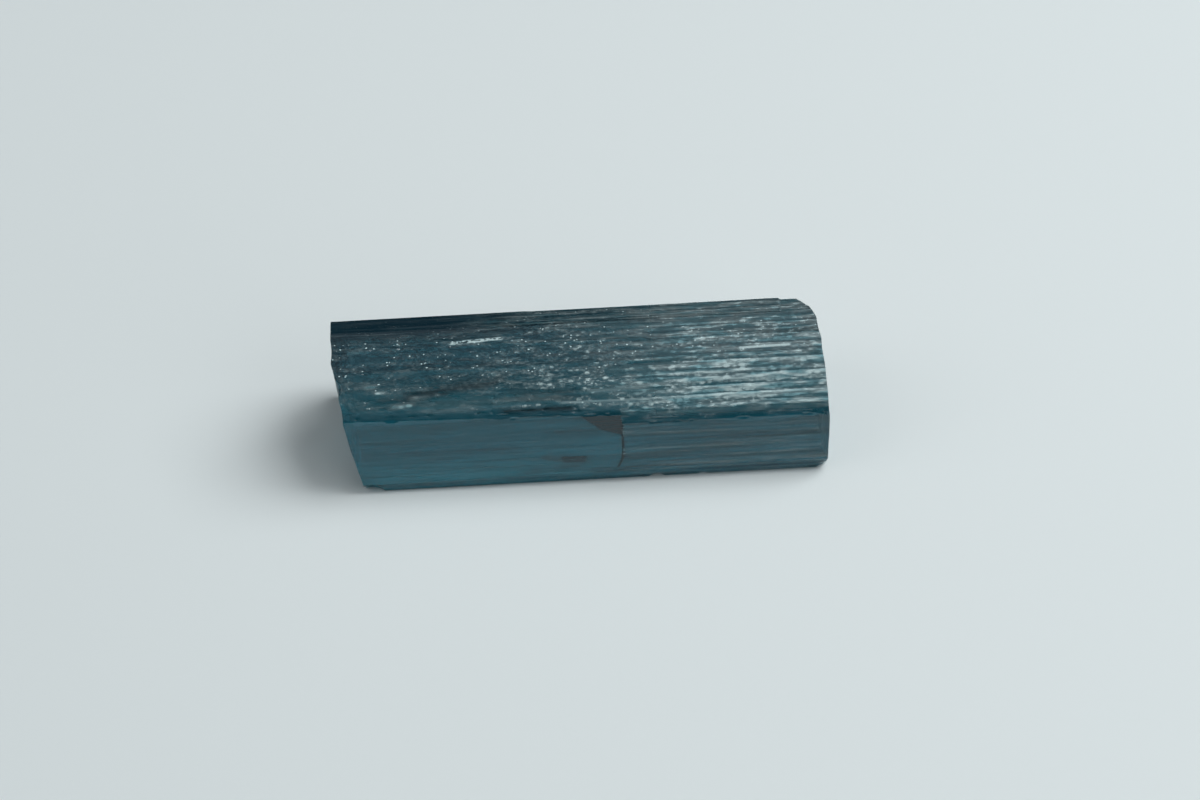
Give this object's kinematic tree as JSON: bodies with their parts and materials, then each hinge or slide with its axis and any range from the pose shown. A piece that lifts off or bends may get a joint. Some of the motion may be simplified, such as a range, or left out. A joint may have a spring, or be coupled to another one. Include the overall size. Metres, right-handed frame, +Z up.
{
  "type": "topaz crystal",
  "caption": "Dark blue-green prismatic crystal with lengthwise striations, broken across at both ends, lying on a flat prism face",
  "frame": {"origin": "middle of the bounding box at the resting face, on the surface that the crystal lies on", "axes": "+X along the prism towards the end with the small ledge, +Z up from the resting face, -Y towards the lower front face with the parted flake"},
  "size_m": [0.018, 0.0062, 0.0046],
  "materials": {
    "crystal": "glossy, striated"
  },
  "bodies": {
    "root": {"crystal": "crystal"}
  },
  "joints": []
}
